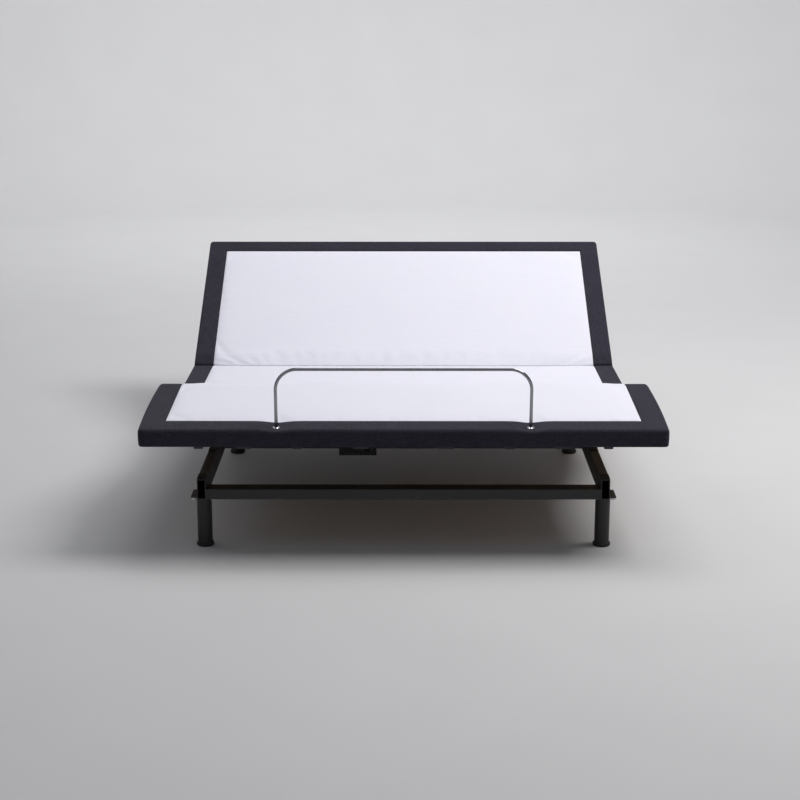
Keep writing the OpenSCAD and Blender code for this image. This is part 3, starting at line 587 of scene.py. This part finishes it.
def thickened(piece):
    """Merges the mitres' points and gives the linen its thickness, inwards."""
    shape = bmesh.new()
    shape.from_mesh(piece.data)
    bmesh.ops.remove_doubles(shape, verts=shape.verts, dist=1e-5)
    shape.to_mesh(piece.data)
    shape.free()
    thick = piece.modifiers.new("thickness", "SOLIDIFY")
    thick.thickness, thick.offset = cloth_thick, -1.0
    with bpy.context.temp_override(object=piece, active_object=piece):
        bpy.ops.object.modifier_apply(modifier=thick.name)


def joined(name, parts):
    """Several meshes as one piece."""
    with bpy.context.temp_override(active_object=parts[0], selected_editable_objects=parts):
        bpy.ops.object.join()
    parts[0].name = parts[0].data.name = name
    return parts[0]


head_path = end_path(head_split, head_end, head_seam, hinge_s[2])
foot_path = end_path(knee_split, foot_end, foot_seam, hinge_s[0])
thigh_paths = [side_path(knee_split, head_split, side) for side in (-1, 1)]
for name, section, pieces, nodes in (
        ("head_linen_border", "head", [border("head_rim", head_path, head_end)],
         ("head_border", "seat_border")),
        ("thigh_linen_border", "thigh", [border("thigh_rim", path) for path in thigh_paths],
         ("thigh_border",)),
        ("foot_linen_border", "foot", [border("foot_rim", foot_path, foot_end)], ("foot_border",))):
    rim = joined(name, pieces)
    areas = np.zeros(len(rim.data.polygons), np.float32)
    rim.data.polygons.foreach_get("area", areas)
    section + "_board"
    section + "_top_panel"
    thickened(rim)
    rim.data.materials.append(charcoal_linen)
    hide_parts(*nodes)
    join_to_deck(rim)


# ---------------------------------------------------------------------------
# Seam: a thin near-black bead laid in the groove between the white panel and the
# border, painted shade that stands in for the groove's shadow, and a row of dark
# lock stitches 6 mm outside it that holds the border's turned edge.
# ---------------------------------------------------------------------------
def thread_finish(name, low, high, twist):
    """Twisted yarn: fine slanting strands with random fuzz, the strands' crests painted lighter as a painted
    highlight.
    """
    yarn = Finish(name)
    place = yarn.object_place()
    x, y, z = yarn.parts(place)
    strand = ((x + y + z * 0.7) * (2 * math.pi / twist)).sine()
    fuzz = yarn.noise(place, 1400.0, 2.0)
    # Strand crests lighter than their hollows: painted highlight.
    return yarn.wear(Base_Color=yarn.between((strand * 0.35 + fuzz).clipped(), low, high),
                     Roughness=0.75 + 0.2 * fuzz, Normal=yarn.bump(strand + fuzz, 0.0002, 0.6))


# Near-black bead finish: painted shade for the shadow in the seam's groove.
black_seam_shadow = thread_finish("black_seam_shadow", (0.004, 0.004, 0.006), (0.012, 0.012, 0.016), 0.0012)
dark_thread = thread_finish("dark_thread", (0.030, 0.029, 0.040), (0.085, 0.083, 0.105), 0.0006)


def seam_line(path, aside):
    """Points (x, s) and outward directions of a line that runs aside of the seam, towards the edge."""
    seam, edge, inward = path
    return seam - aside * inward, -inward


def seam_shadow_bead(name, path, radius=0.0016, sides=8):
    """A round bead along the seam: a circle carried along the seam line, closed to a point at both
    ends, a little flattened and half sunk in the groove. Its near-black colour is painted shade that
    stands in for the groove's shadow."""
    line, outward = seam_line(path, 0.0004)
    size = np.ones(len(line))
    size[[0, -1]] = 0.02
    angle = np.linspace(0, 2 * math.pi, sides, endpoint=False)
    flat = line[:, None, :] + (size[:, None] * radius * np.cos(angle))[..., None] * outward[:, None, :]
    base = cover_height(line[:, 0], line[:, 1]) - 0.0026
    height = base[:, None] + size[:, None] * 0.8 * radius * np.sin(angle)
    points = on_deck(flat[..., 0], flat[..., 1], height)
    n = len(line)
    faces = grid_faces(n, sides, wrap=True)
    clockwise = (line[1] - line[0])[1] * line[0, 0] < 0
    caps = [np.arange(sides)[::-1], (n - 1) * sides + np.arange(sides)]
    faces = [list(f) for f in faces] + [list(c) for c in caps]
    return new_mesh(name, points.reshape(-1, 3), [f[::-1] for f in faces] if clockwise else faces)


def stitches(name, path, aside=0.006, pitch=0.0046, length=0.0034, radius=0.00034):
    """A dashed line of stitches: every pitch along the line lies one stitch, a four-sided spindle
    that sinks into the cloth at both ends."""
    line, outward = seam_line(path, aside)
    step = np.linalg.norm(np.diff(line, axis=0), axis=1)
    run = np.concatenate([[0.0], np.cumsum(step)])
    middle = np.arange(pitch, run[-1] - pitch, pitch)
    at = np.column_stack([np.interp(middle, run, line[:, k]) for k in (0, 1)])
    off = np.column_stack([np.interp(middle, run, outward[:, k]) for k in (0, 1)])
    off /= np.linalg.norm(off, axis=1, keepdims=True)
    ahead = np.column_stack([-off[:, 1], off[:, 0]])
    along = np.array([-0.5, -0.34, 0.34, 0.5]) * length
    girth = np.array([0.25, 1.0, 1.0, 0.25]) * radius
    sink = np.array([-1.2, 0.6, 0.6, -1.2]) * radius
    angle = np.arange(4) * math.pi / 2
    flat = (at[:, None, None, :] + along[None, :, None, None] * ahead[:, None, None, :]
            + (girth[:, None] * np.cos(angle))[None, :, :, None] * off[:, None, None, :])
    height = (cover_height(at[:, 0], at[:, 1])[:, None, None] - 0.0004
              + sink[None, :, None] + (girth[:, None] * np.sin(angle))[None])
    points = on_deck(flat[..., 0], flat[..., 1], height)
    one = np.concatenate([grid_faces(4, 4, wrap=True), [[3, 2, 1, 0], [12, 13, 14, 15]]])
    faces = (one[None] + 16 * np.arange(len(middle))[:, None, None]).reshape(-1, 4)
    return new_mesh(name, points.reshape(-1, 3), faces[:, ::-1])


for section, paths in (("head", [head_path]), ("thigh", thigh_paths), ("foot", [foot_path])):
    # The seam's bead is painted shade; the stitches are dark thread of their own colour.
    for kind, make, finish in (("seam_welt", seam_shadow_bead, black_seam_shadow), ("top_stitches", stitches, dark_thread)):
        row = joined(section + "_" + kind, [make(section + kind, path) for path in paths])
        row.data.materials.append(finish)
        join_to_deck(row)


# ---------------------------------------------------------------------------
# Staples: 12 mm galvanised staples, shot through the hem into the boards.
# ---------------------------------------------------------------------------
staple_finish = Finish("galvanised_wire")
dull = staple_finish.noise(staple_finish.object_place(), 700.0)
galvanised_wire = staple_finish.wear(
    Base_Color=staple_finish.between(dull, (0.38, 0.39, 0.41), (0.60, 0.60, 0.61)),
    Metallic=1.0, Roughness=0.30 + 0.25 * dull)
toss = np.random.default_rng(7)


def staples(name, path, end, pitch=0.048, back=0.027):
    """A row of staple crowns under the board: flat bars of rounded section, each at its own small
    slant, at even distances along the line that runs back from the edge."""
    seam, edge, inward = path
    line = edge + back * inward
    line[:, 0] = np.clip(line[:, 0], back - deck_half, deck_half - back)
    if end is not None:
        line[:, 1] = np.minimum(line[:, 1], end - back) if end > 0 else np.maximum(line[:, 1], end + back)
    run = np.concatenate([[0.0], np.cumsum(np.linalg.norm(np.diff(line, axis=0), axis=1))])
    middle = np.arange(pitch / 2, run[-1], pitch)
    at = np.column_stack([np.interp(middle, run, line[:, k]) for k in (0, 1)])
    at = at[np.min(np.abs(at[:, 1:] - hinge_s), axis=1) > 0.030]
    slant = toss.uniform(-0.35, 0.35, len(at)) + math.pi / 4
    ahead = np.column_stack([np.cos(slant), np.sin(slant)])
    side = np.column_stack([-ahead[:, 1], ahead[:, 0]])
    along = np.array([-1.0, -0.9, 0.9, 1.0]) * 0.006
    rise = np.array([0.35, 1.0, 1.0, 0.35]) * 0.0006
    edges = np.array([-1.0, -0.6, 0.6, 1.0]) * 0.0006
    depth = np.array([0.0, 1.0, 1.0, 0.0])
    flat = (at[:, None, None, :] + along[None, :, None, None] * ahead[:, None, None, :]
            + edges[None, None, :, None] * side[:, None, None, :])
    height = skin_low + 0.0002 - rise[None, :, None] * depth[None, None, :] + 0 * flat[..., 0]
    points = on_deck(flat[..., 0], flat[..., 1], height)
    one = np.concatenate([grid_faces(4, 4), [[12, 13, 14, 15]], [[3, 2, 1, 0]], [[0, 4, 8, 12]],
                          [[15, 11, 7, 3]], [[0, 12, 15, 3]]])
    faces = (one[None] + 16 * np.arange(len(at))[:, None, None]).reshape(-1, 4)
    return new_mesh(name, points.reshape(-1, 3), faces[:, ::-1], smooth=False)


for section, paths, end in (("head", [head_path], head_end), ("thigh", thigh_paths, None),
                            ("foot", [foot_path], foot_end)):
    row = joined(section + "_hem_staples", [staples(section + "staples", path, end) for path in paths])
    row.data.materials.append(galvanised_wire)
    join_to_deck(row)


# ---------------------------------------------------------------------------
# Deck boards: 18 mm birch plywood, grain across the deck, plies showing on the
# cut edges.
# ---------------------------------------------------------------------------
def plywood_finish(name, anchor, slope):
    """Plywood turned with its board: stretched grain along X, and plies that alternate through the
    thickness, which is the board's own Z after the pattern is turned back by its slope."""
    wood = Finish(name)
    flat = wood.node("ShaderNodeVectorMath", {"operation": "SUBTRACT"},
                     {0: wood.object_place(), 1: (0.0, float(anchor[0]), float(anchor[1]))}, out="Vector")
    place = wood.node("ShaderNodeMapping", inputs={"Vector": flat, "Rotation": (-slope, 0.0, 0.0)})
    _, _, depth = wood.parts(place)
    grain = wood.noise(place, 90.0, 5.0, 0.6, (0.10, 1.0, 1.0))
    rings = wood.noise(place, 7.0, 3.0, 0.55, (0.25, 1.4, 1.0))
    pores = wood.noise(place, 420.0, 2.0, 0.5, (0.05, 1.0, 1.0))
    figure = ((rings * 38.0).sine() * 0.25 + grain * 0.75).clipped()
    ply = ((depth * (2 * math.pi / 0.0036) + 1.2).sine() * 4.0 + 0.5).clipped()
    face = wood.between(figure, (0.40, 0.255, 0.125), (0.60, 0.42, 0.235))
    end = wood.between(pores, (0.22, 0.125, 0.055), (0.36, 0.225, 0.11))
    return wood.wear(Base_Color=wood.between(ply, end, face), Roughness=0.58 + 0.22 * grain,
                     Normal=wood.bump(grain * 0.6 + pores * 0.5, 0.0005, 0.5))


def refinish(finish, *nodes):
    """Gives CAD nodes a finish of their own."""
    for name in nodes:
        mesh = frame["nodes"][name].data
        mesh.materials.clear()
        mesh.materials.append(finish)


for section, anchor, slope in (("head", head_hinge, slopes[3]), ("seat", head_hinge, 0.0),
                               ("thigh", thigh_hinge, slopes[1]), ("foot", knee, slopes[0])):
    refinish(plywood_finish(section + "_plywood", anchor, slope), section + "_board")


# ---------------------------------------------------------------------------
# Steel frame, sub-frames, legs and lift arms: welded tube and plate under a
# fine black powder coat.
# ---------------------------------------------------------------------------
def powder_finish():
    """Baked powder: orange peel 1 mm across, fine specks, and a little dust in broad patches."""
    coat = Finish("black_powder_coat")
    place = coat.object_place()
    peel = coat.noise(place, 850.0, 2.0, 0.4)
    speck = coat.noise(place, 2600.0, 1.0)
    dust = coat.noise(place, 9.0, 4.0, 0.6)
    return coat.wear(Base_Color=coat.between((dust * 0.7 + speck * 0.3).clipped(), (0.007, 0.007, 0.008),
                                             (0.019, 0.019, 0.021)),
                     Roughness=0.34 + 0.22 * dust + 0.10 * speck, Specular_IOR_Level=0.5,
                     Normal=coat.bump(peel + speck * 0.4, 0.00018, 0.6))


refinish(powder_finish(), "side_rails", "cross_rails", "motor_rails", "headboard_plates", "motor_brackets",
         "legs", "leg_plates", "head_frame", "thigh_frame", "foot_frame", "head_lift_arms",
         "head_drive_lever", "leg_lift_arms", "leg_drive_lever")


# ---------------------------------------------------------------------------
# Hinge plates, pins, brackets, lift shafts, foot links and drive tubes: steel
# with bright zinc plating.
# ---------------------------------------------------------------------------
def zinc_finish():
    """Bright zinc: small cloudy crystals, faint straw and blue tints, and drawn lines along Y."""
    plate = Finish("bright_zinc")
    place = plate.object_place()
    crystal = plate.node("ShaderNodeTexVoronoi", inputs={"Vector": place, "Scale": 160.0}, out="Color")
    shade, tint, _ = plate.parts(crystal)
    drawn = plate.noise(place, 260.0, 3.0, 0.5, (1.0, 0.04, 1.0))
    cloud = plate.noise(place, 22.0, 3.0)
    tone = plate.between((shade * 0.35 + cloud * 0.65).clipped(), (0.37, 0.375, 0.39), (0.60, 0.60, 0.61))
    passivated = plate.between((tint * 0.4 + cloud * 0.2).clipped(), tone, (0.56, 0.55, 0.47))
    return plate.wear(Base_Color=passivated, Metallic=1.0, Roughness=0.24 + 0.16 * cloud + 0.12 * drawn,
                      Normal=plate.bump(drawn, 0.00006, 0.5))


bright_zinc = zinc_finish()
refinish(bright_zinc, "frame_hinge_ears", "pivot_pins", "shaft_brackets", "head_hinge_ears",
         "thigh_hinge_ears", "knee_ears", "knee_pins", "link_brackets", "head_shaft", "leg_shaft",
         "head_drive_tube", "leg_drive_tube", "foot_links")


# ---------------------------------------------------------------------------
# Bearings: natural nylon rollers, glide strips and shaft bushes, turned and cut
# from white stock and a little polished where they run.
# ---------------------------------------------------------------------------
def nylon_finish():
    """Natural nylon: milky, with fine turning marks and a polish that comes and goes."""
    nylon = Finish("natural_nylon")
    place = nylon.object_place()
    marks = nylon.noise(place, 900.0, 2.0, 0.5, (1.0, 0.15, 1.0))
    milk = nylon.noise(place, 30.0, 2.0)
    return nylon.wear(Base_Color=nylon.between(milk, (0.60, 0.58, 0.50), (0.73, 0.71, 0.63)),
                      Roughness=0.36 + 0.22 * marks, Subsurface_Weight=0.08,
                      Normal=nylon.bump(marks, 0.00012, 0.5))


refinish(nylon_finish(), "shaft_bushes", "head_glide_strips", "thigh_glide_strips", "head_rollers",
         "leg_rollers")


# ---------------------------------------------------------------------------
# Housings of the drives and the electronics, and the cover's retaining clips:
# black moulded plastic with a spark-eroded grain.
# ---------------------------------------------------------------------------
def moulded_finish(name, low, high, rough, grain_size):
    """Moulded plastic or rubber: an even grain of the given size, and finger marks in the gloss."""
    shell = Finish(name)
    place = shell.object_place()
    grain = shell.noise(place, grain_size, 2.0, 0.6)
    touch = shell.noise(place, 14.0, 3.0)
    return shell.wear(Base_Color=shell.between((grain * 0.5 + touch * 0.5).clipped(), low, high),
                      Roughness=rough + 0.14 * grain - 0.10 * touch, Normal=shell.bump(grain, 0.00022, 0.7))


refinish(moulded_finish("black_housing", (0.008, 0.008, 0.010), (0.020, 0.020, 0.023), 0.48, 1500.0),
         "control_box", "power_supply", "head_drive_housing", "leg_drive_housing", "cover_clips")
refinish(moulded_finish("black_rubber", (0.010, 0.010, 0.010), (0.026, 0.025, 0.025), 0.82, 700.0),
         "deck_pads", "leg_glides")


# ---------------------------------------------------------------------------
# Mattress retainer bar, its two sockets and the drives' rods: bent and turned
# steel, polished and chromium plated.
# ---------------------------------------------------------------------------
def chrome_finish(name, low, high):
    """Chromium plate: a mirror with a very fine buffing haze."""
    plate = Finish(name)
    haze = plate.noise(plate.object_place(), 35.0, 4.0, 0.6)
    buffed = plate.noise(plate.object_place(), 1800.0, 1.0)
    return plate.wear(Base_Color=plate.between(haze, low, high), Metallic=1.0,
                      Roughness=0.05 + 0.06 * haze + 0.03 * buffed, Normal=plate.bump(buffed, 0.00002, 0.4))


# Two copies of one chromium plate: the brighter one is a painted highlight, for the bright reflections the
# sockets and rods catch, and the darker one is painted shade on the bar.
chrome_painted_bright = chrome_finish("chrome_painted_bright", (0.80, 0.80, 0.82), (0.88, 0.88, 0.90))
chrome_painted_dark = chrome_finish("chrome_painted_dark", (0.30, 0.30, 0.33), (0.40, 0.40, 0.43))
refinish(chrome_painted_bright, "head_drive_rod", "leg_drive_rod")


def socket_cup(name, side):
    """A spun cup turned about its own axis: blind bore, raised lip, dished flange that clamps the
    cloth down, and a barrel through the board."""
    lip = skin_top - socket_dip + 0.0024
    bore, barrel, flange = 0.0055, 0.0088, 0.0132
    profile = np.array([
        (0.0004, -0.0145), (bore, -0.0145), (bore, lip - 0.0010), (bore + 0.0004, lip - 0.0003),
        (bore + 0.0011, lip), (bore + 0.0020, lip - 0.0002), (bore + 0.0030, lip - 0.0010),
        (bore + 0.0045, lip - 0.0016), (flange - 0.0012, lip - 0.0018), (flange - 0.0003, lip - 0.0021),
        (flange, lip - 0.0026), (flange - 0.0004, lip - 0.0030), (barrel + 0.001, lip - 0.0031),
        (barrel, lip - 0.0036), (barrel, -0.0172), (barrel - 0.0008, -0.0180), (0.0004, -0.0180)])
    angle = np.linspace(0, 2 * math.pi, 48, endpoint=False)
    radius, height = profile[:, :1], profile[:, 1:]
    points = on_deck(side * post_x + radius * np.cos(angle), post_s + radius * np.sin(angle),
                     height + 0 * angle)
    faces = grid_faces(len(profile), 48, wrap=True).tolist()
    last = 48 * (len(profile) - 1)
    caps = [list(range(48))[::-1], list(range(last, last + 48))]
    return new_mesh(name, points.reshape(-1, 3), [f[::-1] for f in faces + caps])


cups = joined("retainer_socket_cups", [socket_cup("cup", side) for side in (-1, 1)])
# Sockets: the brighter chrome copy, a painted highlight.
cups.data.materials.append(chrome_painted_bright)
cups.data.set_sharp_from_angle(angle=math.radians(40))
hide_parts("retainer_sockets")
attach(cups, "foot_section")

bar_radius, bar_bend, bar_top, bar_foot = 0.0048, 0.062, skin_top + 0.167, -0.0138
quarter = np.linspace(0, math.pi / 2, 25)
half_path = np.concatenate([
    np.column_stack([np.full(14, post_x), np.linspace(bar_foot, bar_top - bar_bend, 14)])[:-1],
    np.column_stack([post_x - bar_bend * (1 - np.cos(quarter)), bar_top - bar_bend * (1 - np.sin(quarter))]),
    np.column_stack([np.linspace(post_x - bar_bend, 0, 20), np.full(20, bar_top)])[1:]])
bar_path = np.concatenate([half_path, (half_path * [-1, 1])[::-1][1:]])
bar_ahead = np.gradient(bar_path, axis=0)
bar_ahead /= np.linalg.norm(bar_ahead, axis=1, keepdims=True)
bar_aside = np.column_stack([-bar_ahead[:, 1], bar_ahead[:, 0]])
around = np.linspace(0, 2 * math.pi, 32, endpoint=False)
ring = bar_radius * np.cos(around)[None, :, None] * bar_aside[:, None, :]
flat = bar_path[:, None, :] + ring
bar_s = post_s + bar_radius * np.sin(around)[None, :] + 0 * flat[..., 0]
bar_points = on_deck(flat[..., 0], bar_s, flat[..., 1])
bar_faces = grid_faces(len(bar_path), 32, wrap=True).tolist()
bar_caps = [list(range(32))[::-1], list(range(32 * (len(bar_path) - 1), 32 * len(bar_path)))]
bar = new_mesh("retainer_bar_tube", bar_points.reshape(-1, 3), bar_faces + bar_caps)
bar.data.set_sharp_from_angle(angle=math.radians(50))
# Bar: the darker chrome copy, painted shade.
bar.data.materials.append(chrome_painted_dark)
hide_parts("retainer_bar")
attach(bar, "retainer")


# ---------------------------------------------------------------------------
# Fasteners: M8 hexagon bolts with washers, four up through each leg plate into
# the rail.
# ---------------------------------------------------------------------------
def hex_bolts(name, places, up, across=0.013, head=0.0053, washer=0.0085):
    """Hexagon heads with washers at the given places, heads pointing away from up. The head is a
    six-sided profile, chamfered at its rim, and its washer a round one, both turned about up."""
    up = np.asarray(up, float) / np.linalg.norm(up)
    right = np.cross(up, [0.0, 1.0, 0.0] if abs(up[1]) < 0.9 else [1.0, 0.0, 0.0])
    right /= np.linalg.norm(right)
    front = np.cross(up, right)
    corner = across / math.sqrt(3)
    parts, faces, start = [], [], 0
    for sides, profile in (
            (24, [(0.0001, 0.0), (washer, 0.0), (washer, 0.0012), (washer - 0.0004, 0.0016),
                  (0.0001, 0.0016)]),
            (6, [(corner, 0.0016), (corner, head), (corner * 0.86, head + 0.0007), (0.0001, head + 0.0007)])):
        angle = np.linspace(0, 2 * math.pi, sides, endpoint=False)
        radius, drop = np.array(profile).T
        ring = radius[:, None, None] * (np.cos(angle)[:, None] * right + np.sin(angle)[:, None] * front)
        shape = (ring - drop[:, None, None] * up).reshape(-1, 3)
        own = grid_faces(len(profile), sides, wrap=True)
        parts.append((np.asarray(places)[:, None, :] + shape).reshape(-1, 3))
        faces.append((own[None] + start + len(shape) * np.arange(len(places))[:, None, None]).reshape(-1, 4))
        start += len(shape) * len(places)
    piece = new_mesh(name, np.concatenate(parts), np.concatenate(faces), smooth=False)
    piece.data.materials.append(bright_zinc)
    return piece


plates = np.array([v.co for v in frame["nodes"]["leg_plates"].data.vertices])
plate_low = plates[:, 2].min()
leg_x = (plates[:, 0].max() - 0.035) * np.array([-1, 1])
leg_y = np.unique(np.round(plates[:, 1], 4)).reshape(-1, 2).mean(axis=1)
reach = np.array([-0.027, 0.027])
bolt_at = np.array([(x + dx, y + dy, plate_low)
                    for x in leg_x for y in leg_y for dx in reach for dy in reach])
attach(hex_bolts("leg_plate_bolts", bolt_at, (0, 0, 1)), "frame")
